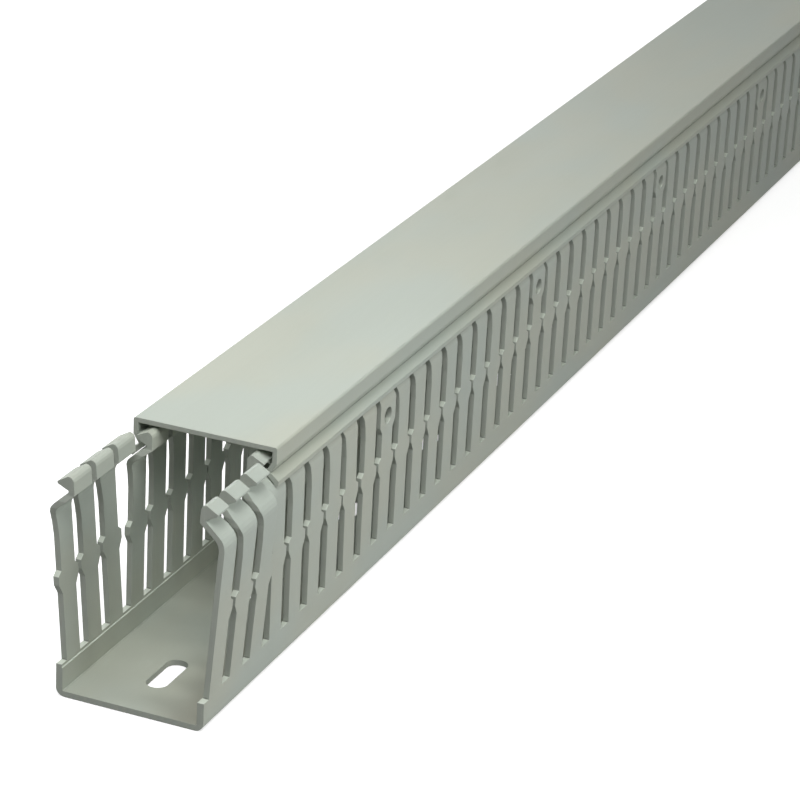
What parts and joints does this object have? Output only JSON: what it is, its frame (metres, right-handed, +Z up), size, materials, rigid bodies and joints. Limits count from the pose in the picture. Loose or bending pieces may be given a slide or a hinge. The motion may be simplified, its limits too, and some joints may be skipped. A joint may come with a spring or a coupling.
{
  "type": "slotted wire duct",
  "caption": "Open-slot wiring duct with a U-shaped fingered base, slotted floor holes and a clip-on cover pushed back from the front end.",
  "frame": {"origin": "centre of the base's mounting face (its flat underside)", "axes": "+Y along the duct towards the end that the cover overhangs, +X across it, +Z up out of the duct through the cover"},
  "size_m": [0.0514, 1.0422, 0.0673],
  "materials": {
    "grey_pvc": "matt extruded rigid PVC, light grey with a green cast"
  },
  "bodies": {
    "base": {"duct_base": "grey_pvc"},
    "lid": {"cover": "grey_pvc"}
  },
  "joints": [
    {"name": "cover_slide", "type": "slide", "parent": "base", "child": "lid", "axis": [0, 1, 0], "range_m": [0, 0.96]}
  ]
}
